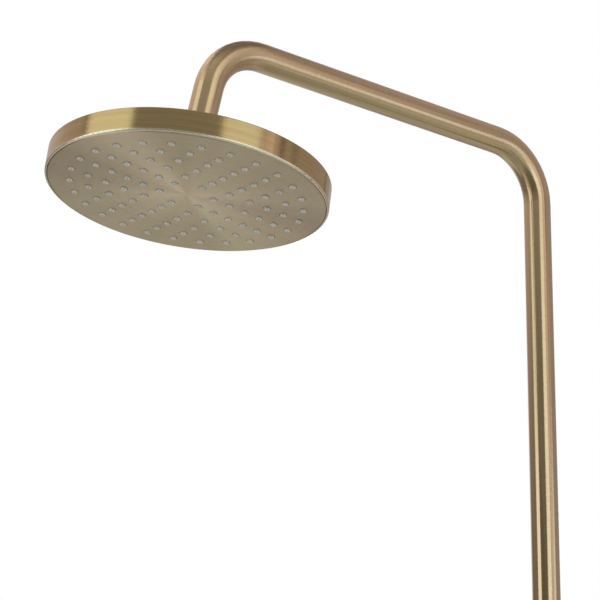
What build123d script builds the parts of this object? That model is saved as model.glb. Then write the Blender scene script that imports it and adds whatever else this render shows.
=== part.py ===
"""Shower column: a one-piece gooseneck riser with a round rain head on a ball joint.

Millimetres, +Z up. The origin is on the wall, at the middle of the wall bracket.
The arm points to -Y, out from the wall, and the column is symmetric about x = 0.
Threads are plain cylinders at the diameter that their note gives.
"""
import os
from math import cos, pi, radians, sin, sqrt, tan

from build123d import *

# Clearances between pieces
SLIP = 0.05          # radial, between pieces of one body that slide together
RUNNING = 0.08       # radial, between a turning tube and its bush, and in the ball joint
FREE = 0.3           # between curved faces that move past each other
FACE_GAP = 0.05      # axial, between flat faces that turn against each other
CUT = 1.0            # how far a cutter runs past the face that it opens

# Riser, arm and drop leg: one bent tube
TUBE_OD = 21.5
TUBE_WALL = 1.5
BEND_RADIUS = 45.5       # to the tube's centre line, at both bends
WALL_TO_RISER = 70.0     # wall face to the riser's axis
ARM_HEIGHT = 400.0       # bracket to the corner of riser and arm
RISER_BELOW = 450.0      # bracket to the riser's lower end
ARM_LENGTH = 315.0       # corner to corner along the arm
ARM_RISE = 2.0           # degrees above level, going outwards
DROP_LEAN = 13.0         # degrees off plumb, going outwards
DROP_STRAIGHT = 27.5     # straight part of the drop leg

# Wall bracket
PLATE_THICKNESS = 4.0
PLATE_EDGE = 3.2             # screw heads to the plate's edge
WALL_SCREW_HOLE = 2.6        # radius
WALL_SCREW_HEAD = 4.8        # radius of the countersink
WALL_SCREW_SINK = 2.2        # its depth
WALL_SCREW_LAND = 1.2        # screw heads to the standoff
STANDOFF_RADIUS = 10.0
STANDOFF_WALL = 4.95         # round the plate's stub
GRUB_RADIUS = 2.5            # M5
GRUB_SOCKET = 2.5            # across flats
GRUB_SOCKET_DEPTH = 2.0
GRUB_FROM_ROSE = 1.5         # rose's front to the grub screw's edge
GRUB_FROM_STUB_END = 4.0
ROSE_DEPTH = 12.0
ROSE_WALL = 1.2
ROSE_ROOM = 3.8              # plate's edge to the inside of the rose
ROSE_EDGE = 2.5              # radius of its front edge
ROSE_HOLE_GAP = 0.6          # rose's hole to the standoff
ROSE_RING_SECTION = 0.75     # radius of the section of the O-ring in the rose
ROSE_RING_GAP = 0.15         # O-ring to the rose's hole
COLLAR_WALL = 4.0
COLLAR_HEIGHT = 24.0
COLLAR_EDGE = 1.0
BUSH_WALL = 1.8
BUSH_FLANGE = 1.5            # thickness
BUSH_FLANGE_REACH = 3.2      # beyond the bush's bore

# Inlet at the riser's lower end, for an outlet with a 3/4 inch pipe thread
UNION_THREAD = 12.06         # core radius of the nut's thread
UNION_THREAD_LENGTH = 14.0
UNION_WALL = 2.94            # thread to the hexagon's flats
UNION_LIP = 3.0
NUT_CHAMFER = 0.8
OUTLET_WALL = 2.66           # room for the outlet's pipe between the nut and the spigot
SPIGOT_PLUG = 14.0           # length inside the tube
SPIGOT_COLLAR = 3.0
SPIGOT_GROOVE = 1.0          # depth of the retaining ring's groove
SPIGOT_WALL = 2.2            # under that groove
SPIGOT_LAND = 5.0            # retaining ring's groove to the first seal groove
SPIGOT_TIP = 11.0            # plain end below the last seal groove
SPIGOT_CHAMFER = 0.8
SEAL_SECTION = 0.9           # radius of the section of the inlet O-rings
SEAL_PROUD = 0.3             # how far they stand out of the spigot
SEAL_GROOVE = 2.6            # width
SEAL_LAND = 2.4              # between the grooves
SEAL_COUNT = 2
RETAINER_HEIGHT = 3.0
RETAINER_SPLIT = 1.5

# Ball stem at the end of the drop leg, with a 1/2 inch pipe thread
NIPPLE_PLUG = 12.0           # length inside the tube
NIPPLE_THREAD_STEP = 0.35    # thread below the tube's outside
NIPPLE_LENGTH = 6.0
NIPPLE_WALL = 2.7            # inside the tube
REGULATOR_STEP = 1.1         # regulator's seat beyond the nipple's bore
REGULATOR_HEIGHT = 4.3
REGULATOR_HOLE = 0.8
REGULATOR_HOLES = 6
REGULATOR_HOLE_LAND = 2.6    # centres of the holes to the regulator's edge
WASHER_THICKNESS = 2.0
WASHER_GAP = 0.6             # washer to the nut's thread
MESH_THICKNESS = 0.4
FLANGE_THICKNESS = 2.0
FLANGE_GAP = 1.0             # ball stem's flange to the nut's thread
STEM_WALL = 2.0
STEM_NUT_LIP = 1.5
STEM_NUT_WALL = 1.55         # thread to the hexagon's flats
STEM_NUT_MOUTH = 0.6         # gap round the stem's neck
BALL_RADIUS = 9.5
BALL_SHOULDER = 4.0          # ball's radius less the neck's
JOINT_ROOM = 11.4            # ball's centre to the underside of the stem nut

# Rain head, measured up its own axis from the face plate's outer face
HEAD_RADIUS = 100.0
HEAD_LEAN = 8.0              # degrees off plumb at rest
RIM_HEIGHT = 17.3
CASING_WALL = 1.4
CASING_EDGE = 0.7            # radius of the rim's upper edge
CASING_FOOT_EDGE = 1.1       # radius of its lower edge
CASING_LIFT = 0.3            # rim's lower edge above the face
CROWN_RISE = 6.7             # rim's top to the flat crown
CROWN_MARGIN = 7.0           # socket's shoulder to the edge of the crown
RIM_GROOVE = 0.4             # gap between the rim and the face plate
PAN_SHEET = 0.8              # sheet thickness of the face plate
PAN_EDGE = 0.75              # radius of the face plate's edge
PAN_LIP = 1.8                # width of the lip turned in over the water plate

# Nozzles stand in rings, each with a fixed number more than the last
NOZZLE_RINGS = 6
FIRST_RING_RADIUS = 19.0
FIRST_RING_COUNT = 6
RING_COUNT_STEP = 4
LAST_RING_MARGIN = 5.75      # last ring to the chamber's wall
NOZZLE_ROOT = 2.45           # radius of the nozzle where it leaves the mat
NOZZLE_GAP = 0.35            # round it in the face plate's hole
NOZZLE_TAPER = 0.15          # its root's radius less its tip's
NOZZLE_TIP_EDGE = 0.3        # bevel round its tip
NOZZLE_REACH = 0.9           # beyond the face
NOZZLE_ORIFICE = 0.45        # radius
NOZZLE_ORIFICE_DEPTH = 1.2
NOZZLE_FEED = 1.2            # radius of the wide part of its bore
MAT_THICKNESS = 1.6
MAT_MARGIN = 2.4             # mat's edge to the water plate's

# Water chamber behind the nozzles
CHAMBER_FLOOR = 2.2
CHAMBER_ROOF = 1.5
PLATE_RIM = 1.5              # water plate's rim above the chamber's floor
COVER_POCKET = 1.0           # hollow in the cover's underside
CHAMBER_SEAL_SECTION = 0.72
CHAMBER_SEAL_LAND = 1.2      # on both sides of the seal's groove
CHAMBER_SEAL_WIDTH = 1.8
PLATE_SCREW_RADIUS = 1.1
PLATE_SCREW_HEAD = 1.9
PLATE_SCREW_HEAD_HEIGHT = 1.4
PLATE_SCREW_MARGIN = 0.25    # heads to the cover's edge
OUTER_SCREWS = 8
INNER_SCREWS = 4
PILLAR_WALL = 2.05           # round the inner screws
SCREW_END_COVER = 0.8        # material left under a screw's end
BOSS_WALL = 3.1              # round the inlet seal
WATERWAY = 6.0               # radius of the opening into the chamber

# Ball joint on the head's crown
SOCKET_STEM = 10.0           # radius of the threaded stem inside the boss
SOCKET_STEM_LENGTH = 10.0    # below the casing's crown
SOCKET_SHOULDER_STEP = 0.5   # shoulder beyond the joint nut
SOCKET_SHOULDER_HEIGHT = 2.5
SOCKET_WALL = 2.35           # neck's wall round the seat
SOCKET_GAP = 0.5             # round the ball's lower half
SOCKET_FLOOR = 1.5           # above the crown
SOCKET_FLOOR_GAP = 0.6       # under the ball
SOCKET_TOP = 0.6             # neck's top below the ball's centre
INLET_SEAL_SECTION = 0.9
SEAT_WALL = 2.6              # seat's outside beyond the ball
SEAT_RISE = 2.4              # seat's underside above the ball's lowest point
SEAT_TOP = 1.1               # its top below the ball's centre
FRICTION_FOOT = 0.6          # friction ring's underside above the ball's centre
FRICTION_SPLIT = 1.5
SWING_ROOM = 2.4             # stem's neck to the friction ring's mouth
JOINT_NUT_WALL = 1.95
JOINT_NUT_SHOULDER = 3.0     # top of its cylinder above the ball's centre
JOINT_NUT_LIP = 1.9
JOINT_NUT_THROAT = 0.3       # lip's mouth beyond the friction ring's
JOINT_NUT_FLARE = 2.1        # lip's mouth at the top beyond that at its foot
JOINT_NUT_FOOT = 0.4         # gap above the socket's shoulder
JOINT_NUT_FLUTES = 24
JOINT_NUT_FLUTE = 0.7        # radius of a flute

TUBE_RADIUS = TUBE_OD / 2
TUBE_BORE = TUBE_RADIUS - TUBE_WALL
UP = (Align.CENTER, Align.CENTER, Align.MIN)


def disc(radius, low, high):
    """A solid cylinder on the Z axis between two heights."""
    return Pos(Z=low) * Cylinder(radius, high - low, align=UP)


def ring(outer, inner, low, high):
    """A hollow cylinder on the Z axis between two heights."""
    return disc(outer, low, high) - disc(inner, low - CUT, high + CUT)


def turned(*profile):
    """A solid turned about Z from (radius, height) corners."""
    face = make_face(Plane.XZ * Polyline(*profile, close=True))
    return revolve(face, Axis.Z)


def torus(centre_radius, section, height):
    """An O-ring about Z."""
    return Pos(Z=height) * Torus(centre_radius, section)


def hexagon(flats, low, high):
    """A hexagonal bar with its corners turned down at both ends."""
    bar = Pos(Z=low) * extrude(RegularPolygon(flats / 2, 6, major_radius=False), high - low)
    corner = flats / 2 / cos(pi / 6)
    inner = corner - NUT_CHAMFER
    rise = NUT_CHAMFER / 2
    blank = turned((0, low), (inner, low), (corner, low + rise),
                   (corner, high - rise), (inner, high), (0, high))
    return bar & blank


def at_each(places, shape):
    """Copies of a shape at (x, y) places."""
    return [Pos(x, y, 0) * shape for x, y in places]


def split(height, gap, reach):
    """The cutter that opens a ring on its +Y side, from its middle outwards."""
    return Pos(0, reach / 2, height) * Box(gap, reach, reach)


def circle_points(radius, count, start=0.0):
    """Points evenly round a circle, the first at an angle from +X."""
    turns = [start + 360.0 * step / count for step in range(count)]
    return [(radius * cos(radians(turn)), radius * sin(radians(turn))) for turn in turns]


# Places of the bends, the tube's end and the ball
corner_riser = Vector(0, -WALL_TO_RISER, ARM_HEIGHT)
arm_way = Vector(0, -cos(radians(ARM_RISE)), sin(radians(ARM_RISE)))
drop_way = Vector(0, -sin(radians(DROP_LEAN)), -cos(radians(DROP_LEAN)))
corner_drop = corner_riser + arm_way * ARM_LENGTH
drop_turn = radians(90 + ARM_RISE - DROP_LEAN)
tube_end = corner_drop + drop_way * (DROP_STRAIGHT + BEND_RADIUS * tan(drop_turn / 2))
stem_nut_height = NIPPLE_LENGTH + WASHER_THICKNESS + FLANGE_THICKNESS + STEM_NUT_LIP + 2 * FACE_GAP
leg_end = JOINT_ROOM + stem_nut_height
ball_centre = tube_end + drop_way * leg_end
riser_foot = Vector(0, -WALL_TO_RISER, -RISER_BELOW)

crown_height = RIM_HEIGHT + CROWN_RISE
ball = crown_height + SOCKET_FLOOR + SOCKET_FLOOR_GAP + BALL_RADIUS

# The pieces below are drawn about Z and placed by these frames
riser_frame = Pos(0, -WALL_TO_RISER, 0)
wall_frame = Rot(X=90)
inlet_frame = Pos(riser_foot)
leg_frame = Pos(ball_centre) * Rot(X=-DROP_LEAN)
head_frame = Pos(ball_centre) * Rot(X=-HEAD_LEAN) * Pos(Z=-ball)


# Wall bracket, drawn with Z out from the wall
screw_place = STANDOFF_RADIUS + WALL_SCREW_LAND + WALL_SCREW_HEAD
plate_edge = screw_place + WALL_SCREW_HEAD + PLATE_EDGE
rose_radius = plate_edge + ROSE_ROOM + ROSE_WALL
rose_hole = STANDOFF_RADIUS + ROSE_HOLE_GAP
rose_seal_height = ROSE_DEPTH - ROSE_WALL / 2
rose_groove = rose_hole - ROSE_RING_GAP - 2 * ROSE_RING_SECTION
stub_radius = STANDOFF_RADIUS - STANDOFF_WALL - SLIP
grub_height = ROSE_DEPTH + GRUB_FROM_ROSE + GRUB_RADIUS
stub_end = grub_height + GRUB_FROM_STUB_END
collar_bore = TUBE_RADIUS + RUNNING + BUSH_WALL + SLIP
collar_radius = collar_bore + COLLAR_WALL


def wall_plate():
    """Fixing plate with two countersunk holes and the stub that carries the standoff."""
    body = disc(plate_edge, 0, PLATE_THICKNESS) + disc(stub_radius, 0, stub_end)
    sink = turned((0, -CUT), (WALL_SCREW_HOLE, -CUT),
                  (WALL_SCREW_HOLE, PLATE_THICKNESS - WALL_SCREW_SINK),
                  (WALL_SCREW_HEAD, PLATE_THICKNESS), (WALL_SCREW_HEAD, PLATE_THICKNESS + CUT),
                  (0, PLATE_THICKNESS + CUT))
    for side in (-1, 1):
        body -= Pos(Y=side * screw_place) * sink
    return wall_frame * body


def rose_cover():
    """Round cup that hides the fixing plate, with a rounded front edge."""
    outer = disc(rose_radius, 0, ROSE_DEPTH)
    outer = fillet(outer.edges().group_by(Axis.Z)[-1], ROSE_EDGE)
    inner = disc(rose_radius - ROSE_WALL, -CUT, ROSE_DEPTH - ROSE_WALL)
    inner = fillet(inner.edges().group_by(Axis.Z)[-1], ROSE_EDGE - ROSE_WALL)
    return wall_frame * (outer - inner - disc(rose_hole, -CUT, ROSE_DEPTH + CUT))


def rose_o_ring():
    """O-ring on the standoff that grips the rose."""
    return wall_frame * torus(rose_groove + ROSE_RING_SECTION, ROSE_RING_SECTION, rose_seal_height)


def bracket_standoff():
    """Bar from the wall plate to the collar round the riser, in one piece."""
    bar = disc(STANDOFF_RADIUS, PLATE_THICKNESS, WALL_TO_RISER)
    groove_half = ROSE_RING_SECTION + SLIP
    bar -= ring(STANDOFF_RADIUS + CUT, rose_groove,
                rose_seal_height - groove_half, rose_seal_height + groove_half)
    bar -= disc(stub_radius + SLIP, 0, stub_end + FREE)
    bar -= Pos(Z=grub_height) * Rot(X=90) * disc(GRUB_RADIUS + SLIP, 0, STANDOFF_RADIUS + CUT)
    collar = disc(collar_radius, -COLLAR_HEIGHT / 2, COLLAR_HEIGHT / 2)
    ends = collar.edges().group_by(Axis.Z)
    collar = fillet(ends[0] + ends[-1], COLLAR_EDGE)
    body = wall_frame * bar + riser_frame * collar
    return body - riser_frame * disc(collar_bore, -COLLAR_HEIGHT, COLLAR_HEIGHT)


def grub_screw():
    """Socket grub screw under the standoff, tight on the plate's stub."""
    high = STANDOFF_RADIUS - FREE
    screw = disc(GRUB_RADIUS, stub_radius, high)
    flats = RegularPolygon(GRUB_SOCKET / 2, 6, major_radius=False)
    screw -= Pos(Z=high - GRUB_SOCKET_DEPTH) * extrude(flats, GRUB_SOCKET_DEPTH + CUT)
    return wall_frame * Pos(Z=grub_height) * Rot(X=90) * screw


def riser_bush():
    """Plastic bush in the collar, in which the riser turns."""
    bore = TUBE_RADIUS + RUNNING
    half = COLLAR_HEIGHT / 2
    body = ring(collar_bore - SLIP, bore, -half, half)
    body += ring(bore + BUSH_FLANGE_REACH, bore, half, half + BUSH_FLANGE)
    return riser_frame * body


# Inlet, drawn with z = 0 at the tube's lower end
spigot_radius = UNION_THREAD - OUTLET_WALL
spigot_neck = spigot_radius - SPIGOT_GROOVE
spigot_bore = spigot_neck - SPIGOT_WALL
retainer_top = -SPIGOT_COLLAR - FACE_GAP
retainer_groove = -SPIGOT_COLLAR - RETAINER_HEIGHT - 2 * FACE_GAP
first_seal = retainer_groove - SPIGOT_LAND - SEAL_GROOVE / 2
seal_heights = [first_seal - (SEAL_GROOVE + SEAL_LAND) * step for step in range(SEAL_COUNT)]
seal_centre = spigot_radius + SEAL_PROUD - SEAL_SECTION
spigot_end = seal_heights[-1] - SEAL_GROOVE / 2 - SPIGOT_TIP - SPIGOT_CHAMFER


def gooseneck_tube():
    """One tube, bent twice: riser, arm and drop leg."""
    path = FilletPolyline(riser_foot, corner_riser, corner_drop, tube_end, radius=BEND_RADIUS)
    section = Plane(riser_foot) * (Circle(TUBE_RADIUS) - Circle(TUBE_BORE))
    return sweep(section, path=path)


def inlet_spigot():
    """Turned end brazed into the riser, sealed by O-rings in the outlet that feeds it."""
    tip = spigot_radius - SPIGOT_CHAMFER
    body = turned((0, SPIGOT_PLUG), (TUBE_BORE - SLIP, SPIGOT_PLUG), (TUBE_BORE - SLIP, 0),
                  (TUBE_RADIUS, 0), (TUBE_RADIUS, -SPIGOT_COLLAR),
                  (spigot_neck, -SPIGOT_COLLAR), (spigot_neck, retainer_groove),
                  (spigot_radius, retainer_groove), (spigot_radius, spigot_end + SPIGOT_CHAMFER),
                  (tip, spigot_end), (0, spigot_end))
    for height in seal_heights:
        body -= ring(spigot_radius + CUT, seal_centre - SEAL_SECTION,
                     height - SEAL_GROOVE / 2, height + SEAL_GROOVE / 2)
    return inlet_frame * (body - disc(spigot_bore, spigot_end - CUT, SPIGOT_PLUG + CUT))


def inlet_o_rings():
    """The spigot's O-rings."""
    rings = [torus(seal_centre, SEAL_SECTION, height) for height in seal_heights]
    return inlet_frame * Compound(children=rings)


def retaining_ring():
    """Split plastic ring in the spigot's groove, on which the union nut pulls."""
    outer = UNION_THREAD - FREE
    body = ring(outer, spigot_neck + SLIP, retainer_top - RETAINER_HEIGHT, retainer_top)
    body -= split(retainer_top, RETAINER_SPLIT, 2 * outer)
    return inlet_frame * body


def union_nut():
    """Loose hexagon nut with a 3/4 inch pipe thread, held by the retaining ring."""
    lip_foot = retainer_top + FACE_GAP
    foot = lip_foot - UNION_THREAD_LENGTH
    body = hexagon(2 * (UNION_THREAD + UNION_WALL), foot, lip_foot + UNION_LIP)
    body -= disc(UNION_THREAD, foot - CUT, lip_foot)
    body -= disc(TUBE_RADIUS + FREE, foot, lip_foot + UNION_LIP + CUT)
    return inlet_frame * body


# Ball stem, drawn with z = 0 at the ball's centre and Z up the drop leg
nipple_thread = TUBE_RADIUS - NIPPLE_THREAD_STEP
nipple_bore = TUBE_BORE - SLIP - NIPPLE_WALL
regulator_radius = nipple_bore + REGULATOR_STEP
nipple_end = leg_end - NIPPLE_LENGTH
washer_end = nipple_end - WASHER_THICKNESS
flange_top = washer_end - FACE_GAP
flange_end = flange_top - FLANGE_THICKNESS
stem_lip_top = flange_end - FACE_GAP
stem_neck = BALL_RADIUS - BALL_SHOULDER
stem_bore = stem_neck - STEM_WALL


def head_nipple():
    """Threaded end brazed into the drop leg, bored for the flow regulator."""
    plug, plug_top = TUBE_BORE - SLIP, leg_end + NIPPLE_PLUG
    body = turned((0, plug_top), (plug, plug_top), (plug, leg_end), (nipple_thread, leg_end),
                  (nipple_thread, nipple_end), (0, nipple_end))
    body -= disc(nipple_bore, nipple_end - CUT, plug_top + CUT)
    body -= disc(regulator_radius + SLIP, nipple_end - CUT, nipple_end + REGULATOR_HEIGHT)
    return leg_frame * body


def flow_regulator():
    """Plastic insert whose small holes limit the flow."""
    top = nipple_end + REGULATOR_HEIGHT
    hole = disc(REGULATOR_HOLE, nipple_end - CUT, top + CUT)
    places = circle_points(regulator_radius - REGULATOR_HOLE_LAND, REGULATOR_HOLES)
    return leg_frame * (disc(regulator_radius, nipple_end, top) - at_each(places, hole))


def filter_washer():
    """Rubber washer between the nipple and the ball stem, with a step for the mesh."""
    body = ring(nipple_thread - WASHER_GAP, stem_bore, washer_end, nipple_end)
    body -= disc(nipple_bore + SLIP, nipple_end - MESH_THICKNESS, nipple_end + CUT)
    return leg_frame * body


def filter_mesh():
    """Disc of fine steel mesh in the washer."""
    return leg_frame * disc(nipple_bore, nipple_end - MESH_THICKNESS, nipple_end)


def stem_nut():
    """Hexagon nut that holds the ball stem's flange against the washer."""
    foot = stem_lip_top - STEM_NUT_LIP
    body = hexagon(2 * (nipple_thread + SLIP + STEM_NUT_WALL), foot, leg_end - FREE)
    body -= disc(nipple_thread + SLIP, stem_lip_top, leg_end)
    body -= disc(stem_neck + STEM_NUT_MOUTH, foot - CUT, leg_end)
    return leg_frame * body


def ball_stem():
    """Ball, neck and flange in one piece, bored for the water."""
    body = Sphere(BALL_RADIUS) + disc(stem_neck, 0, flange_top)
    body += disc(nipple_thread - FLANGE_GAP, flange_end, flange_top)
    return leg_frame * (body - disc(stem_bore, -BALL_RADIUS - CUT, flange_top + CUT))


# Rain head, drawn with z = 0 at the face and Z up the head's axis, and its radii from the rim in
rim_inside = HEAD_RADIUS - CASING_WALL
pan_radius = rim_inside - RIM_GROOVE
pan_inside = pan_radius - PAN_SHEET
plate_radius = pan_inside - 2 * SLIP
mat_radius = plate_radius - MAT_MARGIN
cover_radius = pan_inside - PAN_LIP - 2 * SLIP
outer_screw_circle = cover_radius - PLATE_SCREW_MARGIN - PLATE_SCREW_HEAD
screw_hole = PLATE_SCREW_RADIUS + SLIP
seal_outer = outer_screw_circle - screw_hole - CHAMBER_SEAL_LAND
seal_inner = seal_outer - CHAMBER_SEAL_WIDTH
chamber_radius = seal_inner - CHAMBER_SEAL_LAND
last_ring_radius = chamber_radius - LAST_RING_MARGIN
ring_pitch = (last_ring_radius - FIRST_RING_RADIUS) / (NOZZLE_RINGS - 1)
inner_screw_circle = FIRST_RING_RADIUS + ring_pitch / 2
nozzle_places = [place for step in range(NOZZLE_RINGS)
                 for place in circle_points(FIRST_RING_RADIUS + ring_pitch * step,
                                            FIRST_RING_COUNT + RING_COUNT_STEP * step)]
screw_places = (circle_points(outer_screw_circle, OUTER_SCREWS, 180.0 / OUTER_SCREWS)
                + circle_points(inner_screw_circle, INNER_SCREWS, 180.0 / INNER_SCREWS))

# Heights of the water chamber's parts
mat_top = PAN_SHEET + MAT_THICKNESS
chamber_low = mat_top + CHAMBER_FLOOR
plate_top = chamber_low + PLATE_RIM
pan_depth = plate_top + SLIP + PAN_SHEET
chamber_high = plate_top + COVER_POCKET
cover_top = chamber_high + CHAMBER_ROOF
seal_floor = plate_top - 2 * CHAMBER_SEAL_SECTION - SLIP
screw_low = mat_top + SCREW_END_COVER

# Sizes of the ball joint's parts and their heights on the head's axis
seat_radius = BALL_RADIUS + SEAT_WALL
socket_thread = seat_radius + SLIP + SOCKET_WALL
joint_nut_radius = socket_thread + SLIP + JOINT_NUT_WALL
shoulder_radius = joint_nut_radius + SOCKET_SHOULDER_STEP
crown_inside = crown_height - CASING_WALL
shoulder_top = crown_height + SOCKET_SHOULDER_HEIGHT
stem_low = crown_inside - SOCKET_STEM_LENGTH
inlet_seal_centre = SOCKET_STEM + SLIP + INLET_SEAL_SECTION
inlet_seal_step = inlet_seal_centre + INLET_SEAL_SECTION + SLIP
inlet_seal_depth = 2 * INLET_SEAL_SECTION + SLIP
seat_low, seat_high = ball - BALL_RADIUS + SEAT_RISE, ball - SEAT_TOP
socket_top = ball - SOCKET_TOP
socket_sphere = BALL_RADIUS + RUNNING
friction_mouth = stem_neck + SWING_ROOM
friction_high = ball + sqrt(socket_sphere ** 2 - friction_mouth ** 2)


def head_casing():
    """Outer shell: the tall rim and the gently sloping top in one sheet."""
    crown_radius = shoulder_radius + CROWN_MARGIN
    body = turned((HEAD_RADIUS, CASING_LIFT), (HEAD_RADIUS, RIM_HEIGHT),
                  (crown_radius, crown_height), (0, crown_height), (0, crown_inside),
                  (crown_radius, crown_inside), (rim_inside, RIM_HEIGHT - CASING_WALL),
                  (rim_inside, CASING_LIFT))
    for end, edge_radius in ((0, CASING_FOOT_EDGE), (-1, CASING_EDGE)):
        circles = body.edges().filter_by(GeomType.CIRCLE)
        outer = circles.filter_by(lambda edge: abs(edge.radius - HEAD_RADIUS) < SLIP)
        body = fillet(outer.sort_by(Axis.Z)[end], edge_radius)
    return head_frame * (body - disc(SOCKET_STEM + SLIP, 0, crown_height + CUT))


def face_plate():
    """Pressed sheet pan with the nozzle holes, its lip turned in over the water plate."""
    body = disc(pan_radius, 0, pan_depth)
    body = fillet(body.edges().group_by(Axis.Z)[0], PAN_EDGE)
    body -= disc(pan_inside, PAN_SHEET, pan_depth - PAN_SHEET)
    body -= disc(pan_inside - PAN_LIP, PAN_SHEET, pan_depth + CUT)
    hole = disc(NOZZLE_ROOT + NOZZLE_GAP, -CUT, mat_top)
    return head_frame * (body - at_each(nozzle_places, hole))


def nozzle_mat():
    """Silicone mat with all the nozzles moulded on it."""
    orifice_top = NOZZLE_ORIFICE_DEPTH - NOZZLE_REACH
    tip = NOZZLE_ROOT - NOZZLE_TAPER
    nozzle = turned((0, mat_top), (NOZZLE_ROOT, mat_top), (NOZZLE_ROOT, 0),
                    (tip, NOZZLE_TIP_EDGE - NOZZLE_REACH), (tip - NOZZLE_TIP_EDGE, -NOZZLE_REACH),
                    (0, -NOZZLE_REACH))
    bore = turned((0, mat_top + CUT), (NOZZLE_FEED, mat_top + CUT), (NOZZLE_FEED, orifice_top),
                  (NOZZLE_ORIFICE, orifice_top), (NOZZLE_ORIFICE, -NOZZLE_REACH - CUT),
                  (0, -NOZZLE_REACH - CUT))
    body = disc(mat_radius, PAN_SHEET, mat_top) + at_each(nozzle_places, nozzle)
    return head_frame * (body - at_each(nozzle_places, bore))


def water_plate():
    """Plastic plate behind the mat, with a feed hole for each nozzle."""
    body = disc(plate_radius, mat_top, plate_top)
    body += ring(plate_radius, mat_radius + SLIP, PAN_SHEET, mat_top)
    body -= disc(chamber_radius, chamber_low, plate_top + CUT)
    body -= ring(seal_outer, seal_inner, seal_floor, plate_top + CUT)
    body -= at_each(nozzle_places, disc(NOZZLE_FEED, 0, chamber_low + CUT))
    return head_frame * (body - at_each(screw_places, disc(screw_hole, screw_low, plate_top + CUT)))


def chamber_seal():
    """O-ring in the water plate's groove."""
    centre, height = (seal_inner + seal_outer) / 2, (seal_floor + plate_top) / 2
    return head_frame * torus(centre, CHAMBER_SEAL_SECTION, height)


def chamber_cover():
    """Plastic roof of the water chamber, with the boss that the socket screws into."""
    body = disc(cover_radius, plate_top, cover_top)
    body -= disc(chamber_radius, plate_top - CUT, chamber_high)
    inner_places = screw_places[OUTER_SCREWS:]
    body += at_each(inner_places, disc(screw_hole + PILLAR_WALL, chamber_low, cover_top))
    body += disc(inlet_seal_step + BOSS_WALL, chamber_high, crown_inside)
    body -= disc(WATERWAY, chamber_high - CUT, stem_low)
    body -= disc(SOCKET_STEM + SLIP, stem_low - FREE, crown_inside + CUT)
    body -= disc(inlet_seal_step, crown_inside - inlet_seal_depth, crown_inside + CUT)
    return head_frame * (body - at_each(screw_places, disc(screw_hole, 0, cover_top + CUT)))


def plate_screws():
    """Pan-head screws that hold the chamber cover to the water plate."""
    screw = disc(PLATE_SCREW_RADIUS, screw_low + FREE, cover_top)
    screw += disc(PLATE_SCREW_HEAD, cover_top, cover_top + PLATE_SCREW_HEAD_HEIGHT)
    return head_frame * Compound(children=at_each(screw_places, screw))


def inlet_seal():
    """O-ring round the socket's stem, under the casing's crown."""
    return head_frame * torus(inlet_seal_centre, INLET_SEAL_SECTION,
                              crown_inside - inlet_seal_depth / 2)


def socket_body():
    """Turned socket: its stem clamps the casing to the boss and its neck holds the ball."""
    body = disc(SOCKET_STEM, stem_low, shoulder_top)
    body += disc(shoulder_radius, crown_height, shoulder_top)
    body += disc(socket_thread, crown_height, socket_top)
    body -= disc(WATERWAY, stem_low - CUT, socket_top)
    body -= disc(BALL_RADIUS + SOCKET_GAP, crown_height + SOCKET_FLOOR, socket_top)
    return head_frame * (body - disc(seat_radius + SLIP, seat_low, socket_top + CUT))


def ball_seat():
    """Sealing seat under the ball."""
    body = ring(seat_radius, WATERWAY, seat_low, seat_high)
    return head_frame * (body - Pos(Z=ball) * Sphere(socket_sphere))


def friction_ring():
    """Split plastic ring over the ball, pressed down by the joint nut."""
    body = disc(seat_radius, ball + FRICTION_FOOT, friction_high)
    body -= Pos(Z=ball) * Sphere(socket_sphere)
    return head_frame * (body - split(friction_high, FRICTION_SPLIT, 2 * seat_radius))


def joint_nut():
    """Round fluted nut that closes the ball joint."""
    foot, top = shoulder_top + JOINT_NUT_FOOT, friction_high + SLIP + JOINT_NUT_LIP
    pocket = friction_high + SLIP
    throat = friction_mouth + JOINT_NUT_THROAT
    mouth = throat + JOINT_NUT_FLARE
    body = turned((0, foot), (joint_nut_radius, foot), (joint_nut_radius, ball + JOINT_NUT_SHOULDER),
                  (mouth, top), (0, top))
    body -= disc(socket_thread + SLIP, foot - CUT, socket_top + SLIP)
    body -= disc(seat_radius + SLIP, socket_top, pocket)
    body -= turned((0, pocket - CUT), (throat, pocket - CUT), (throat, pocket), (mouth, top),
                   (mouth, top + CUT), (0, top + CUT))
    flute = disc(JOINT_NUT_FLUTE, foot - CUT, top)
    return head_frame * (body - at_each(circle_points(joint_nut_radius, JOINT_NUT_FLUTES), flute))


PIECES = [wall_plate, rose_cover, rose_o_ring, bracket_standoff, grub_screw, riser_bush,
          gooseneck_tube, inlet_spigot, inlet_o_rings, retaining_ring, union_nut,
          head_nipple, flow_regulator, filter_washer, filter_mesh, stem_nut, ball_stem,
          head_casing, face_plate, nozzle_mat, water_plate, chamber_seal, chamber_cover,
          plate_screws, inlet_seal, socket_body, ball_seat, friction_ring, joint_nut]

os.makedirs("parts", exist_ok=True)
for piece in PIECES:
    export_step(piece(), f"parts/{piece.__name__}.step")
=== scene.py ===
"""Shower column in brushed champagne brass, seen from below and in front of its wall.

Metres, +Z up. The wall is the plane y = 0 and the arm points to -Y.
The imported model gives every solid. This script gives each one its finish, and sets the studio.
"""
from math import cos, pi, radians, sin, tan

import bmesh
import bpy
from mathutils import Euler, Matrix, Vector


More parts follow.
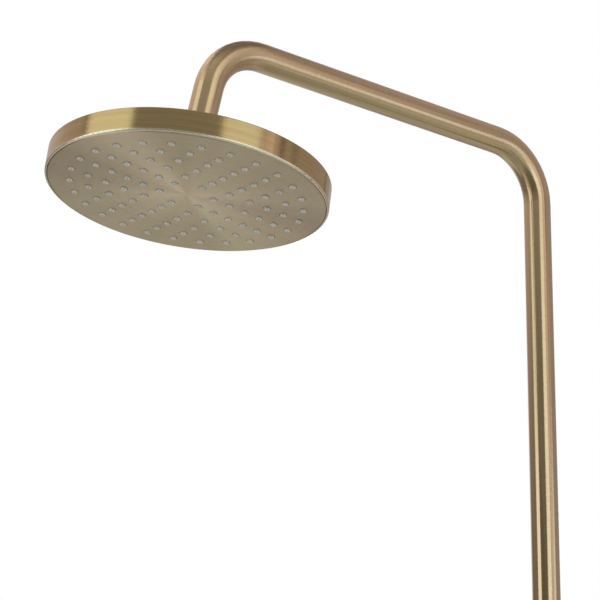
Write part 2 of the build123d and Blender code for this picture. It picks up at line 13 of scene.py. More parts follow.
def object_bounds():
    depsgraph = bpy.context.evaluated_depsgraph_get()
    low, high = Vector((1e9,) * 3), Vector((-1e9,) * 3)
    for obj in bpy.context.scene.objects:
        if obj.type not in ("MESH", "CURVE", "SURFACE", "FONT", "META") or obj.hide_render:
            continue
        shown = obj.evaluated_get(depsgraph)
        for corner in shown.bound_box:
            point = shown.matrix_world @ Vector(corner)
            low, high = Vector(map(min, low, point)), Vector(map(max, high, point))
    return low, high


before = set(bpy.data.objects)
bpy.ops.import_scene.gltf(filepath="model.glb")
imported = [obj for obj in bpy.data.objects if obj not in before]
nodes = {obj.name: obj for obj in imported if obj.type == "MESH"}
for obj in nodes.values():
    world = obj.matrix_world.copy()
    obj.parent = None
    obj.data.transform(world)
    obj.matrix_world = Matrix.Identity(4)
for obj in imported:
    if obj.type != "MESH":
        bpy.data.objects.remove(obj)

cad_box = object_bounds()

# Camera: a long lens below the head and to the right of the arm, looking up at the face.
# Its place and turn were fitted to the outlines of the tube and the head.
camera_place = (1.0792, -1.1278, -0.1584)
camera_turn = (106.0888, -0.6205, 52.6412)    # degrees
camera_lens = 117.6
sensor_width = 36                             # in the lens's millimetres
nearest_seen, farthest_seen = 0.05, 30

camera = bpy.data.objects.new("camera", bpy.data.cameras.new("camera"))
camera.data.lens = camera_lens
camera.data.sensor_width = sensor_width
camera.data.clip_start = nearest_seen
camera.data.clip_end = farthest_seen
camera.location = camera_place
camera.rotation_euler = Euler([radians(angle) for angle in camera_turn])
bpy.context.scene.collection.objects.link(camera)
bpy.context.scene.camera = camera
bpy.context.scene.view_settings.view_transform = "Standard"


# Studio: a white backdrop, a pale floor under the column and soft light from all round.
# The backdrop is white to the camera and in the metal, and gives the object only plain light.
sky_light = 0.75
floor_height = cad_box[0][2] - 0.012
floor_reach = 6.0
floor_tone = (0.86, 0.86, 0.85)
floor_roughness = 0.9


def part(tree, kind, inputs=None, **settings):
    """A node in a material, with its settings and with its inputs linked or set."""
    made = tree.nodes.new(kind)
    for name, value in settings.items():
        setattr(made, name, value)
    for key, value in (inputs or {}).items():
        socket = made.inputs[key]
        if isinstance(value, bpy.types.NodeSocket):
            tree.links.new(value, socket)
        else:
            socket.default_value = value
    return made


def calc(tree, operation, *terms):
    """One sum in a material."""
    return part(tree, "ShaderNodeMath", dict(enumerate(terms)), operation=operation).outputs[0]


def between(tree, value, low, high, foot=0.0, head=1.0):
    """A value moved from one range to another, and held at its ends."""
    return part(tree, "ShaderNodeMapRange", {"Value": value, "From Min": low, "From Max": high,
                                             "To Min": foot, "To Max": head}).outputs["Result"]


world = bpy.data.worlds.new("studio")
bpy.context.scene.world = world
world.use_nodes = True
tree = world.node_tree
tree.nodes.clear()
ray = part(tree, "ShaderNodeLightPath")
seen = calc(tree, "MAXIMUM", ray.outputs["Is Camera Ray"], ray.outputs["Is Glossy Ray"])
seen = calc(tree, "MAXIMUM", seen, ray.outputs["Is Transmission Ray"])
strength = between(tree, seen, 0.0, 1.0, sky_light, 1.0)
backdrop = part(tree, "ShaderNodeBackground", {"Color": (1, 1, 1, 1), "Strength": strength})
part(tree, "ShaderNodeOutputWorld", {"Surface": backdrop.outputs[0]})

floor_mesh = bmesh.new()
bmesh.ops.create_grid(floor_mesh, x_segments=1, y_segments=1, size=floor_reach,
                      matrix=Matrix.Translation((0, 0, floor_height)))
floor_data = bpy.data.meshes.new("floor")
floor_mesh.to_mesh(floor_data)
floor_mesh.free()
floor = bpy.data.objects.new("floor", floor_data)
bpy.context.scene.collection.objects.link(floor)
floor_paint = bpy.data.materials.new("floor_paint")
floor_paint.use_nodes = True
shader = floor_paint.node_tree.nodes["Principled BSDF"]
shader.inputs["Base Color"].default_value = (*floor_tone, 1)
shader.inputs["Roughness"].default_value = floor_roughness
shader.inputs["Specular IOR Level"].default_value = 0.0
floor_data.materials.append(floor_paint)


# Lights: soft boxes in front of the wall and to the right, each with a second one on top of it,
# and a dimmer one on the left. Only the metal sees the grey and brown cards between and above
# them, and they give it its darker bands.
def mix(tree, amount, first, second):
    """A blend of two colours: the mixer's sockets are 0 for the amount, 6 and 7 for the colours."""
    ends = {6: first, 7: second}
    terms = {key: end if isinstance(end, bpy.types.NodeSocket) else (*end, 1)
             for key, end in ends.items()}
    return part(tree, "ShaderNodeMix", {0: amount, **terms}, data_type="RGBA").outputs[2]


def glow_card(name, corners, foot_glow, head_glow, lights=False):
    """A flat card that glows, and fades from its foot's colour to its head's."""
    shape = bmesh.new()
    shape.faces.new([shape.verts.new(corner) for corner in corners])
    data = bpy.data.meshes.new(name)
    shape.to_mesh(data)
    shape.free()
    paint = bpy.data.materials.new(name)
    paint.use_nodes = True
    tree = paint.node_tree
    tree.nodes.clear()
    full = max(*foot_glow, *head_glow)
    glow = part(tree, "ShaderNodeEmission", {"Strength": full})
    foot_tone, head_tone = ([level / full for level in ends] for ends in (foot_glow, head_glow))
    if foot_glow == head_glow:
        glow.inputs["Color"].default_value = (*foot_tone, 1)
    else:
        heights = [corner[2] for corner in corners]
        where = part(tree, "ShaderNodeTexCoord")
        place = part(tree, "ShaderNodeSeparateXYZ", {"Vector": where.outputs["Object"]})
        up = between(tree, place.outputs["Z"], min(heights), max(heights))
        tree.links.new(mix(tree, up, foot_tone, head_tone), glow.inputs["Color"])
    part(tree, "ShaderNodeOutputMaterial", {"Surface": glow.outputs[0]})
    data.materials.append(paint)
    made = bpy.data.objects.new(name, data)
    bpy.context.scene.collection.objects.link(made)
    made.visible_camera = False
    made.visible_shadow = False
    made.visible_transmission = False
    made.visible_diffuse = lights


# where the cards stand, as points on the floor from the left by the front round to the back
left_far, left_mid, left_near = (-1.15, 0.55), (-1.25, -0.05), (-1.25, -0.7)
box_edge, front_left, front_right = (-0.385, -0.936), (-0.335, -0.95), (0.115, -1.0)
right_near, right_far = (0.97, -0.555), (0.972, -0.02)
strip_near, strip_mid = (0.972, 0.06), (0.965, 0.34)
strip_late, strip_far = (0.96, 0.52), (0.95, 0.75)
back_right, back_left = (0.9, 1.1), (-0.75, 1.1)

# their heights
low_foot, under_foot, gap_foot, card_foot = (
    floor_height + lift for lift in (0.004, 0.006, 0.008, 0.01))
strip_foot, strip_top = -0.085, 0.315
box_foot, box_join, box_top = 0.0, 0.77, 1.08
right_join, right_top = 0.86, 1.35
gap_join, left_join = 0.5, 0.55
card_top = 2.4

# Each row has a card's name, the two ends of its foot, the heights of its foot and its head,
# and its glow, or its glow at the foot and then at the head.
soft_boxes = (
    ("soft_box_front", front_left, front_right, box_foot, box_join,
     (1.55, 1.65, 1.9), (0.95, 0.94, 0.8)),
    ("upper_box_front", front_left, front_right, box_join, box_top, (1.15, 1.13, 1.05)),
    ("soft_box_right", right_near, right_far, box_foot, right_join,
     (1.5, 1.6, 1.85), (0.88, 0.87, 0.76)),
    ("upper_box_right", right_near, right_far, right_join, right_top, (1.2, 1.18, 1.1)),
    ("soft_box_back", left_far, left_mid, box_foot, box_top,
     (0.6, 0.62, 0.66), (0.5, 0.52, 0.56)),
)
left_glow, left_head_glow = (0.17, 0.148, 0.155), (0.23, 0.2, 0.21)
upper_left_glow, upper_left_head_glow = (0.44, 0.385, 0.385), (1.3, 1.14, 1.18)
standing_cards = (
    ("strip_near_card", strip_near, strip_mid, strip_foot, strip_top, (0.66, 0.66, 0.7)),
    ("strip_far_card", strip_mid, strip_far, strip_foot, strip_top, (1.2, 1.28, 1.5)),
    ("box_edge_card", box_edge, front_left, card_foot, card_top,
     (0.15, 0.13, 0.11), (0.36, 0.32, 0.28)),
    ("gap_card", front_right, right_near, card_foot, gap_join,
     (0.10, 0.09, 0.08), (0.15, 0.14, 0.12)),
    ("upper_gap_card", front_right, right_near, gap_join, card_top,
     (0.28, 0.265, 0.25), (0.8, 0.76, 0.72)),
    ("above_front", front_left, front_right, box_top, card_top, (0.36, 0.3, 0.31)),
    ("above_right", right_near, right_far, right_top, card_top, (0.36, 0.3, 0.31)),
    ("strip_edge", right_far, strip_near, card_foot, card_top, (0.5, 0.43, 0.44)),
    ("above_near_strip", strip_mid, strip_near, strip_top, card_top,
     (0.95, 0.78, 0.8), (0.3, 0.25, 0.26)),
    ("above_mid_strip", strip_late, strip_mid, strip_top, card_top,
     (0.23, 0.195, 0.2), (0.24, 0.2, 0.21)),
    ("above_far_strip", strip_far, strip_late, strip_top, card_top,
     (0.58, 0.48, 0.49), (0.24, 0.2, 0.21)),
    ("right_card", strip_far, back_right, card_foot, card_top,
     (0.4, 0.34, 0.34), (0.26, 0.22, 0.23)),
    ("back_card", back_right, back_left, card_foot, card_top,
     (0.3, 0.26, 0.26), (0.6, 0.5, 0.52)),
    ("back_left_card", back_left, left_far, card_foot, card_top,
     (0.26, 0.22, 0.23), (0.8, 0.68, 0.7)),
    ("left_card", left_mid, left_near, card_foot, left_join, left_glow, left_head_glow),
    ("upper_left_card", left_mid, left_near, left_join, card_top,
     upper_left_glow, upper_left_head_glow),
    ("front_left_card", left_near, box_edge, card_foot, left_join, left_glow, left_head_glow),
    ("upper_front_left_card", left_near, box_edge, left_join, card_top,
     upper_left_glow, upper_left_head_glow),
)
for lights, cards in ((True, soft_boxes), (False, standing_cards)):
    for name, start, end, foot, head, *glows in cards:
        glow_card(name, ((*start, foot), (*end, foot), (*end, head), (*start, head)),
                  glows[0], glows[-1], lights)

# The cards that lie flat: name, corners, height and glow.
reach = 3.0
whole_room = ((-reach, -reach), (reach, -reach), (reach, reach), (-reach, reach))
flat_cards = (
    ("lid_card", whole_room, card_top, (0.21, 0.18, 0.18)),
    ("low_card", whole_room, low_foot, (0.56, 0.56, 0.54)),
    ("under_card", ((-0.6, -1.0), (0.7, -1.0), (0.7, 0.5), (-0.6, 0.5)), under_foot,
     (0.36, 0.36, 0.35)),
    ("low_gap", (front_right, right_near, (reach, -1.6), (0.4, -reach)), gap_foot,
     (0.12, 0.11, 0.10)),
)
for name, corners, level, glow in flat_cards:
    glow_card(name, [(*corner, level) for corner in corners], glow, glow)


# Wall bracket's fixing plate: stainless sheet with straight rolling lines, and a turned stub that
# carries the standoff. Two countersunk screws hold it to the wall.
steel_tone = (0.6, 0.6, 0.6)
plate_tone = (0.64, 0.64, 0.63)
plate_dark = (0.47, 0.47, 0.47)
plate_roughness = 0.34
rolling_scale = (1500.0, 1500.0, 30.0)        # the lines run up the plate
rolling_depth = 0.0001
noise_range = (0.35, 0.65)                    # where most of the noise lies


def aim(tree, operation, *terms, result=0):
    """One vector sum in a material."""
    return part(tree, "ShaderNodeVectorMath", dict(enumerate(terms)),
                operation=operation).outputs[result]


def base(name, tone, roughness, metallic=1.0, stretch=0.0):
    """A material with its tree, its shader and the object coordinates of what it is on."""
    made = bpy.data.materials.new(name)
    made.use_nodes = True
    tree = made.node_tree
    shader = tree.nodes["Principled BSDF"]
    shader.inputs["Base Color"].default_value = (*tone, 1)
    shader.inputs["Metallic"].default_value = metallic
    shader.inputs["Roughness"].default_value = roughness
    shader.inputs["Anisotropic"].default_value = stretch
    return made, tree, shader, part(tree, "ShaderNodeTexCoord")


def noise(tree, place, scale=1.0, detail=3.0):
    """Soft noise from 0 to 1 at a place."""
    return part(tree, "ShaderNodeTexNoise", {"Vector": place, "Scale": scale, "Detail": detail,
                                             "Roughness": 0.6}).outputs["Fac"]


def grain_bump(tree, shader, height, depth, strength=0.3):
    """Small relief from a height between 0 and 1."""
    relief = part(tree, "ShaderNodeBump",
                  {"Strength": strength, "Distance": depth, "Height": height})
    tree.links.new(relief.outputs[0], shader.inputs["Normal"])


def paint_over(tree, shader, amount, dark, tone):
    """A colour that goes from dark to light with an amount."""
    tree.links.new(mix(tree, amount, dark, tone), shader.inputs["Base Color"])


def dress(material, *pieces):
    """The finish of CAD nodes, in place of their own."""
    for piece in pieces:
        finishes = nodes[piece].data.materials
        finishes.clear()
        finishes.append(material)


plate_steel, tree, shader, where = base("plate_steel", steel_tone, plate_roughness)
rolling = noise(tree, aim(tree, "MULTIPLY", where.outputs["Object"], rolling_scale))
paint_over(tree, shader, between(tree, rolling, *noise_range), plate_dark, plate_tone)
grain_bump(tree, shader, rolling, rolling_depth)
dress(plate_steel, "wall_plate")


# Rose: a spun brass cup that slides along the standoff and hides the fixing plate.
# It is brushed round its own axis and lacquered like the tube.
brass_tone = (0.70, 0.555, 0.335)
brass_dark = (0.60, 0.455, 0.255)
wear_range = (0.36, 0.62)                     # of the lines, from dark to light
lathe_spacing = 0.0004                        # between the fine lines
broad_step = 5                                # fine lines in a broad one
fine_turn, broad_turn = 1.5, 0.8              # how much a line changes on its way round


def to_world(tree, way):
    """A direction in the piece's own space, as the shader wants it."""
    return part(tree, "ShaderNodeVectorTransform", {"Vector": way}, vector_type="VECTOR",
                convert_from="OBJECT", convert_to="WORLD").outputs[0]


def about_axis(tree, where, centre, axis):
    """Radius, height and turn about an axis, and the way across the brush lines."""
    local = aim(tree, "SUBTRACT", where.outputs["Object"], tuple(centre))
    height = aim(tree, "DOT_PRODUCT", local, tuple(axis), result=1)
    cross = aim(tree, "CROSS_PRODUCT", tuple(axis), local)
    around = aim(tree, "NORMALIZE", cross)
    radius = aim(tree, "LENGTH", cross, result=1)
    across = aim(tree, "CROSS_PRODUCT", around, where.outputs["Normal"])
    return radius, height, around, to_world(tree, across)


def longer(tree, way, length):
    """A direction made longer, so that noise changes more as it turns."""
    return part(tree, "ShaderNodeVectorMath", {0: way, "Scale": length},
                operation="SCALE").outputs[0]


def ring_lines(tree, radius, height, around, spacing, change):
    """Noise in lines that run round an axis: one value for each fine groove."""
    place = part(tree, "ShaderNodeCombineXYZ", {"X": calc(tree, "DIVIDE", radius, spacing),
                                                "Y": calc(tree, "DIVIDE", height, spacing)})
    return noise(tree, aim(tree, "ADD", place.outputs[0], longer(tree, around, change)))


def half_each(tree, first, second):
    """The middle of two values."""
    return calc(tree, "ADD", calc(tree, "MULTIPLY", first, 0.5),
                calc(tree, "MULTIPLY", second, 0.5))


def brushed_round(name, dark, tone, roughness, stretch, centre, axis, spacing, depth=0.00012):
    """A metal with fine lines round an axis, and the radius and height about it."""
    made, tree, shader, where = base(name, tone, roughness, stretch=stretch)
    radius, height, around, across = about_axis(tree, where, centre, axis)
    tree.links.new(across, shader.inputs["Tangent"])
    fine = ring_lines(tree, radius, height, around, spacing, fine_turn)
    broad = ring_lines(tree, radius, height, around, broad_step * spacing, broad_turn)
    worn = half_each(tree, fine, broad)
    paint_over(tree, shader, between(tree, worn, *wear_range), dark, tone)
    grain_bump(tree, shader, fine, depth)
    return made, tree, shader, radius, height, fine


rose_brass = brushed_round("rose_brass", brass_dark, brass_tone, roughness=0.26, stretch=0.9,
                           centre=(0, 0, 0), axis=(0, 1, 0), spacing=lathe_spacing)[0]
dress(rose_brass, "rose_cover")


# O-rings and seals: black nitrile rubber, moulded, with a faint dull bloom.
# They sit pressed in their grooves. The filter's washer is moulded from the same rubber.
seal_tone = (0.034, 0.034, 0.035)
seal_dark = (0.018, 0.018, 0.019)
grain_step = 40                               # grains across a cloud
gloss_change = 0.06
grain_range = (0.3, 0.7)


def moulded(name, dark, tone, roughness, scale, depth):
    """A moulded rubber or plastic with a fine grain."""
    made, tree, shader, where = base(name, tone, roughness, metallic=0.0)
    cloud = noise(tree, where.outputs["Object"], scale)
    grain = noise(tree, where.outputs["Object"], grain_step * scale, detail=1.0)
    paint_over(tree, shader, between(tree, cloud, *noise_range), dark, tone)
    tree.links.new(between(tree, grain, *grain_range, roughness - gloss_change,
                           roughness + gloss_change), shader.inputs["Roughness"])
    grain_bump(tree, shader, grain, depth)
    return made


seal_rubber = moulded("seal_rubber", seal_dark, seal_tone, roughness=0.55, scale=140.0,
                      depth=0.00003)
dress(seal_rubber, "rose_o_ring", "inlet_o_rings", "chamber_seal", "inlet_seal", "filter_washer")


# Standoff and collar: one brass forging, bored for the bush, satin-blasted and lacquered
# to the tube's colour, so its grain runs no one way.
blast_scale, blast_detail, blast_depth = 4500.0, 2.0, 0.00008
cloud_scale = 160.0
standoff_dull = (0.3, 0.4)                    # roughness, from the least to the most

standoff_brass, tree, shader, where = base("standoff_brass", brass_tone, roughness=0.34)
blast = noise(tree, where.outputs["Object"], blast_scale, blast_detail)
cloud = noise(tree, where.outputs["Object"], cloud_scale)
worn = half_each(tree, blast, cloud)
paint_over(tree, shader, between(tree, worn, *wear_range), brass_dark, brass_tone)
tree.links.new(between(tree, cloud, *grain_range, *standoff_dull), shader.inputs["Roughness"])
grain_bump(tree, shader, blast, blast_depth)
dress(standoff_brass, "bracket_standoff")


# Grub screw under the standoff and the screws inside the head: cold-formed stainless steel,
# bright, with fine marks from the rolls.
screw_plain = (0.62, 0.62, 0.61)
screw_tone = (0.66, 0.66, 0.65)
screw_dark = (0.5, 0.5, 0.5)
roll_marks = (700.0, 700.0, 3500.0)
mark_depth = 0.00005

screw_steel, tree, shader, where = base("screw_steel", screw_plain, roughness=0.24)
marks = noise(tree, aim(tree, "MULTIPLY", where.outputs["Object"], roll_marks))
paint_over(tree, shader, between(tree, marks, *noise_range), screw_dark, screw_tone)
grain_bump(tree, shader, marks, mark_depth)
dress(screw_steel, "grub_screw", "plate_screws")


# Bush, retaining ring, flow regulator and friction ring: white low-friction plastic, moulded,
# slightly waxy, with a fine grain from the mould.
waxy_tone = (0.84, 0.84, 0.81)
waxy_dark = (0.76, 0.76, 0.73)
waxy_plastic = moulded("waxy_plastic", waxy_dark, waxy_tone, roughness=0.38, scale=90.0,
                       depth=0.00003)
dress(waxy_plastic, "riser_bush", "retaining_ring", "flow_regulator", "friction_ring")


# Riser, arm and drop leg: one brass tube, bent twice, satin-brushed round its outside
# and lacquered. The brush lines run round the tube and follow its bends.
riser_out = 0.070
arm_height = 0.400
arm_length = 0.315
arm_rise = radians(2)
drop_lean = radians(13)
bend_radius = 0.0455
fine_around, fine_along = 1.1, 1400.0         # how fast the lines change round it and along it
streak_around, streak_along = 5.0, 9.0
tube_wear = (0.35, 0.62)
tube_dull = (0.2, 0.27)                       # roughness, from the least to the most
brush_depth, brush_strength = 0.00015, 0.25

riser_corner = Vector((0, -riser_out, arm_height))
arm_way = Vector((0, -cos(arm_rise), sin(arm_rise)))
drop_corner = riser_corner + arm_way * arm_length
riser_turn = pi / 2 - arm_rise
drop_turn = pi / 2 + arm_rise - drop_lean
riser_bend = riser_corner + Vector((0, -bend_radius, -bend_radius * tan(riser_turn / 2)))
drop_bend = (drop_corner - arm_way * bend_radius * tan(drop_turn / 2)
             + Vector((0, -sin(arm_rise), -cos(arm_rise))) * bend_radius)
arm_middle = (riser_corner.y + drop_corner.y) / 2


def round_bend(tree, y, z, centre, side, low, high):
    """The turn round one bend, held at its ends, as an angle above level."""
    out = calc(tree, "MULTIPLY", calc(tree, "SUBTRACT", y, centre.y), side)
    angle = calc(tree, "ARCTAN2", calc(tree, "SUBTRACT", z, centre.z), out)
    return calc(tree, "MINIMUM", calc(tree, "MAXIMUM", angle, low), high)


tube_brass, tree, shader, where = base("tube_brass", brass_tone, roughness=0.24, stretch=0.9)
place = part(tree, "ShaderNodeSeparateXYZ", {"Vector": where.outputs["Object"]})
y, z = place.outputs["Y"], place.outputs["Z"]
riser_angle = round_bend(tree, y, z, riser_bend, 1.0, 0.0, riser_turn)
drop_angle = round_bend(tree, y, z, drop_bend, -1.0, drop_lean, pi / 2 + arm_rise)
past_middle = calc(tree, "LESS_THAN", y, arm_middle)
before_middle = calc(tree, "SUBTRACT", 1.0, past_middle)


def at_bends(tree, join, function):
    """A function of both bends' angles, each on its own side of the arm's middle."""
    riser_side = calc(tree, "MULTIPLY", calc(tree, function, riser_angle), before_middle)
    drop_side = calc(tree, "MULTIPLY", calc(tree, function, drop_angle), past_middle)
    return calc(tree, join, riser_side, drop_side)


# the way along the tube, which is the way across its brush lines
level = calc(tree, "MULTIPLY", at_bends(tree, "ADD", "SINE"), -1.0)
upward = at_bends(tree, "SUBTRACT", "COSINE")
tube_way = part(tree, "ShaderNodeCombineXYZ", {"Y": level, "Z": upward}).outputs[0]
tree.links.new(to_world(tree, tube_way), shader.inputs["Tangent"])

# the distance along the tube, for lines that run round it
riser_part = calc(tree, "MULTIPLY", calc(tree, "MINIMUM", z, riser_bend.z), before_middle)
arm_part = calc(tree, "MAXIMUM", calc(tree, "MINIMUM", y, riser_bend.y), drop_bend.y)
below_bend = calc(tree, "MINIMUM", calc(tree, "SUBTRACT", z, drop_bend.z), 0.0)
drop_part = calc(tree, "MULTIPLY", below_bend, past_middle)
bent_part = calc(tree, "MULTIPLY", calc(tree, "SUBTRACT", riser_angle, drop_angle), bend_radius)
distance = calc(tree, "ADD", calc(tree, "SUBTRACT", riser_part, arm_part),
                calc(tree, "SUBTRACT", bent_part, drop_part))


def tube_lines(tree, around_scale, along_scale):
    """Noise in lines round the tube: how fast it changes round it and along it."""
    turn = longer(tree, where.outputs["Normal"], around_scale)
    along = part(tree, "ShaderNodeCombineXYZ", {"X": calc(tree, "MULTIPLY", distance, along_scale)})
    return noise(tree, aim(tree, "ADD", turn, along.outputs[0]))


fine = tube_lines(tree, fine_around, fine_along)
streak = tube_lines(tree, streak_around, streak_along)
worn = half_each(tree, fine, streak)
paint_over(tree, shader, between(tree, worn, *tube_wear), brass_dark, brass_tone)
tree.links.new(between(tree, streak, *grain_range, *tube_dull), shader.inputs["Roughness"])
grain_bump(tree, shader, fine, brush_depth, brush_strength)
dress(tube_brass, "gooseneck_tube")


# Inlet spigot: bar brass, turned and brazed into the riser's lower end. It is left bare,
# because the outlet's bore hides it.
riser_foot = (0, -riser_out, -0.450)
upright_axis = (0, 0, 1)
bare_tone = (0.74, 0.60, 0.33)
bare_dark = (0.62, 0.48, 0.24)
turned_spacing = 0.0003                       # between a bare piece's turning lines
spigot_brass = brushed_round("spigot_brass", bare_dark, bare_tone, roughness=0.2, stretch=0.6,
                             centre=riser_foot, axis=upright_axis, spacing=turned_spacing)[0]
dress(spigot_brass, "inlet_spigot")


# Union nut: a hexagon of brass bar, faced, threaded inside and lacquered like the tube.
# It hangs loose on the retaining ring until it is screwed to the outlet.
thread_pitch = 0.00181                        # fourteen threads to the inch
thread_depth = 0.001
turned_share = 0.1                            # of the turning lines in a threaded piece's relief
union_thread = (0.0119, 0.0123)               # the radii between which the wall is threaded


def thread(tree, shader, fine, radius, height, wall):
    """A screw thread's ridges between two radii, over the fine turning lines."""
    low, high = wall
    inside = calc(tree, "MULTIPLY", calc(tree, "GREATER_THAN", radius, low),
                  calc(tree, "LESS_THAN", radius, high))
    ridge = calc(tree, "PINGPONG", calc(tree, "DIVIDE", height, thread_pitch / 2), 1.0)
    relief = calc(tree, "ADD", calc(tree, "MULTIPLY", fine, turned_share),
                  calc(tree, "MULTIPLY", ridge, inside))
    grain_bump(tree, shader, relief, thread_depth, 1.0)


nut_brass, tree, shader, radius, height, fine = brushed_round(
    "nut_brass", brass_dark, brass_tone, roughness=0.26, stretch=0.7,
    centre=riser_foot, axis=upright_axis, spacing=lathe_spacing)
thread(tree, shader, fine, radius, height, union_thread)
dress(nut_brass, "union_nut")


# Threaded end brazed into the drop leg, and the ball with its neck: bar brass, turned and bare.
# They lean with the leg, and the ball is polished so that it slides in its seat.
leg_axis = Vector((0, sin(drop_lean), cos(drop_lean)))
leg_length = 0.0505                           # from the bend's end to the ball's centre
ball_centre = drop_corner - leg_axis * (bend_radius * tan(drop_turn / 2) + leg_length)
nipple_thread = (0.0102, 0.0106)

nipple_brass, tree, shader, radius, height, fine = brushed_round(
    "nipple_brass", bare_dark, bare_tone, roughness=0.2, stretch=0.6,
    centre=ball_centre, axis=leg_axis, spacing=turned_spacing)
thread(tree, shader, fine, radius, height, nipple_thread)
dress(nipple_brass, "head_nipple")
ball_brass = brushed_round("ball_brass", bare_dark, bare_tone, roughness=0.12, stretch=0.4,
                           centre=ball_centre, axis=leg_axis, spacing=turned_spacing,
                           depth=0.00004)[0]
dress(ball_brass, "ball_stem")


# Filter: a disc of fine stainless wire cloth that keeps grit out of the head.
# It lies in a step in the washer, between the threaded end and the ball's flange.
wire_tone = (0.62, 0.62, 0.61)
hole_painted_shade = (0.03, 0.03, 0.03)
wire_pitch = 0.0004
wire_edge = (0.45, 0.6)                       # from hole to wire, as shares of half a pitch
weave_depth, weave_strength = 0.0001, 0.8

mesh_steel, tree, shader, where = base("mesh_steel", steel_tone, roughness=0.3)
place = part(tree, "ShaderNodeSeparateXYZ", {"Vector": where.outputs["Object"]})
wires = [calc(tree, "PINGPONG", calc(tree, "DIVIDE", place.outputs[way], wire_pitch / 2), 1.0)
         for way in "XY"]
weave = calc(tree, "MAXIMUM", *wires)
# painted shade: the gaps between the wires are painted near black, for the dark seen through them
paint_over(tree, shader, between(tree, weave, *wire_edge), hole_painted_shade, wire_tone)
grain_bump(tree, shader, weave, weave_depth, weave_strength)
dress(mesh_steel, "filter_mesh")


# Stem nut: a hexagon of brass bar, threaded inside, that clamps the ball's flange and the washer
# to the threaded end. It is lacquered like the tube.
stem_thread = (0.0102, 0.0108)
stem_nut_brass, tree, shader, radius, height, fine = brushed_round(
    "stem_nut_brass", brass_dark, brass_tone, roughness=0.26, stretch=0.7,
    centre=ball_centre, axis=leg_axis, spacing=lathe_spacing)
thread(tree, shader, fine, radius, height, stem_thread)
dress(stem_nut_brass, "stem_nut")


# Rain head's shell: brass sheet, pressed and then brushed round and round on its axis,
# so its tall rim has fine lines along it. Its lower edge is rougher, and painted paler as a painted
# highlight.
head_lean = radians(8)
head_axis = Vector((0, sin(head_lean), cos(head_lean)))
face_below_ball = 0.0356
face_centre = ball_centre - head_axis * face_below_ball
rim_tone = (0.585, 0.455, 0.235)
rim_dark = (0.475, 0.355, 0.17)
rim_edge_painted_highlight = (0.97, 0.88, 0.66)
rim_roughness, edge_roughness = 0.11, 0.38
edge_top, edge_blend = 0.0016, 0.0003         # the height above the face of the lower edge's painted highlight, which is also rougher
rim_spacing = 0.00045

rim_brass, tree, shader, radius, height, fine = brushed_round(
    "rim_brass", rim_dark, rim_tone, rim_roughness, stretch=0.8,
    centre=face_centre, axis=head_axis, spacing=rim_spacing)
# painted highlight: the band along the lower edge is painted a pale cream, and is also made rougher
edge_highlight_band = between(tree, height, edge_top, edge_top + edge_blend, 1.0, 0.0)
brushed = shader.inputs["Base Color"].links[0].from_socket
paint_over(tree, shader, edge_highlight_band, brushed, rim_edge_painted_highlight)
tree.links.new(between(tree, edge_highlight_band, 0.0, 1.0, rim_roughness, edge_roughness),
               shader.inputs["Roughness"])
dress(rim_brass, "head_casing")


# Face plate: a pressed brass pan, brushed in circles about its centre before its holes are made.
# Its colour has painted highlights in faint wedges that meet at the centre, a painted paler middle,
# and painted shade on both sides of one line.
face_radius = 0.098
face_tone_and_painted_highlight = (0.78, 0.685, 0.45)
face_rose = (0.81, 0.66, 0.49)
face_dark_and_painted_shade = (0.52, 0.435, 0.295)
fine_circles, broad_circles = 0.0004, 0.003   # between lines
fine_change, broad_change = 1.2, 2.2          # how much a line changes on its way round
painted_wedge_scale, hue_scale = (2.4, 2.4, 2.4), (3.6, 3.6, 3.6)
painted_shade_line = (0.84, -0.54, 0.0)               # painted shade: the face is darker on both sides of this line
fine_share, broad_share, painted_wedge_share, painted_shade_share = 0.35, 0.4, 0.8, 0.42
painted_middle_reach, painted_middle_share = 0.6, 0.5             # painted highlight: the middle is paler, out to this part of the radius
shade_range = (0.25, 1.15)
face_depth = 0.00012

face_brass, tree, shader, where = base("face_brass", face_tone_and_painted_highlight, roughness=0.42, stretch=0.9)
radius, height, around, across = about_axis(tree, where, face_centre, head_axis)
tree.links.new(across, shader.inputs["Tangent"])
fine = ring_lines(tree, radius, height, around, fine_circles, fine_change)
broad = ring_lines(tree, radius, height, around, broad_circles, broad_change)
outwards = calc(tree, "DIVIDE", radius, face_radius)
# painted highlight: noise round the centre paints faint paler wedges
painted_wedge_highlight = noise(tree, aim(tree, "MULTIPLY", around, painted_wedge_scale), detail=4.0)
# painted shade: the face is darker on both sides of one line, more so further out
side = calc(tree, "POWER", aim(tree, "DOT_PRODUCT", around, painted_shade_line, result=1), 2.0)
lines = calc(tree, "ADD", calc(tree, "MULTIPLY", fine, fine_share),
             calc(tree, "MULTIPLY", broad, broad_share))
lines_and_painted_light = calc(tree, "ADD", lines, calc(tree, "MULTIPLY", painted_wedge_highlight, painted_wedge_share))
# painted highlight: the middle of the face is painted paler
lines_and_painted_light = calc(tree, "ADD", lines_and_painted_light, between(tree, outwards, 0.0, painted_middle_reach, painted_middle_share, 0.0))
painted_side_shade = calc(tree, "MULTIPLY", calc(tree, "MULTIPLY", side, outwards), painted_shade_share)
lines_and_painted_light = calc(tree, "SUBTRACT", lines_and_painted_light, painted_side_shade)
hue = noise(tree, aim(tree, "MULTIPLY", around, hue_scale))
light = mix(tree, between(tree, hue, *noise_range), face_tone_and_painted_highlight, face_rose)
paint_over(tree, shader, between(tree, lines_and_painted_light, *shade_range), face_dark_and_painted_shade, light)
grain_bump(tree, shader, fine, face_depth)
dress(face_brass, "face_plate")


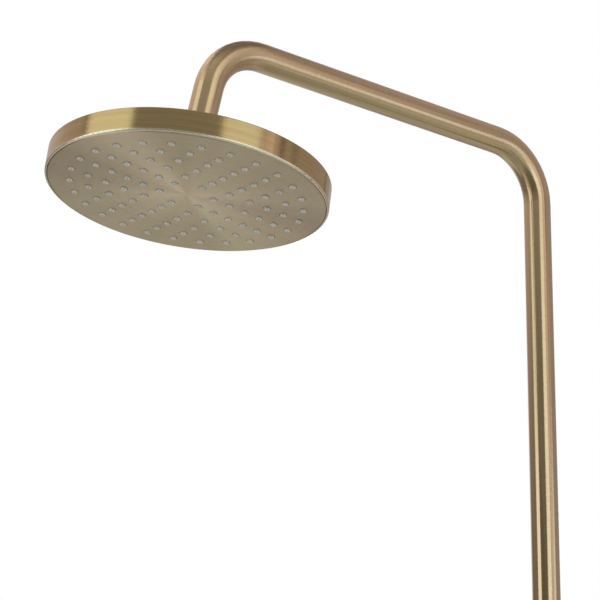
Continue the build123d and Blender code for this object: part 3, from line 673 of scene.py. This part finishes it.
# Nozzles: one grey silicone mat, moulded in one piece with all its nozzles. Their soft tips come
# through the face plate's holes, so that lime can be rubbed off them.
silicone_plain = (0.5, 0.48, 0.44)
silicone_tone = (0.53, 0.50, 0.42)
silicone_dark = (0.42, 0.39, 0.32)
silicone_cloud, silicone_grain = 220.0, 3000.0
silicone_depth = 0.00004
soft_reach = (0.001, 0.001, 0.001)            # how far light goes in

silicone, tree, shader, where = base("grey_silicone", silicone_plain, roughness=0.42,
                                     metallic=0.0)
shader.inputs["Subsurface Weight"].default_value = 0.15
shader.inputs["Subsurface Radius"].default_value = soft_reach
shader.inputs["Subsurface Scale"].default_value = 1.0
cloud = noise(tree, where.outputs["Object"], silicone_cloud)
paint_over(tree, shader, between(tree, cloud, *noise_range), silicone_dark, silicone_tone)
grain = noise(tree, where.outputs["Object"], silicone_grain, detail=1.0)
grain_bump(tree, shader, grain, silicone_depth)
dress(silicone, "nozzle_mat")


# Water plate and chamber cover: grey glass-filled plastic, moulded, with pale flow marks.
# Screws hold the cover to the plate, and the two make the water chamber behind the nozzles.
chamber_tone = (0.25, 0.25, 0.255)
chamber_dark = (0.17, 0.17, 0.175)
chamber_plastic = moulded("chamber_plastic", chamber_dark, chamber_tone, roughness=0.5,
                          scale=60.0, depth=0.00006)
dress(chamber_plastic, "water_plate", "chamber_cover")


# Ball socket on the crown: bar brass, turned, with its shoulder lacquered like the head.
# Its threaded stem clamps the shell to the chamber's cover.
socket_brass = brushed_round("socket_brass", rim_dark, rim_tone, roughness=0.22, stretch=0.8,
                             centre=face_centre, axis=head_axis, spacing=lathe_spacing)[0]
dress(socket_brass, "socket_body")


# Ball seat: smooth black rubber under the ball, which seals the joint. It is greased,
# so it is glossier than the other seals.
seat_tone = (0.026, 0.026, 0.027)
seat_dark = (0.014, 0.014, 0.015)
seat_rubber = moulded("seat_rubber", seat_dark, seat_tone, roughness=0.3, scale=140.0,
                      depth=0.00002)
dress(seat_rubber, "ball_seat")


# Joint nut: a fluted ring of bar brass, turned and lacquered, that closes the ball joint.
# It is tightened by hand, and presses the friction ring on the ball.
joint_brass = brushed_round("joint_brass", brass_dark, brass_tone, roughness=0.24, stretch=0.8,
                            centre=face_centre, axis=head_axis, spacing=lathe_spacing)[0]
dress(joint_brass, "joint_nut")
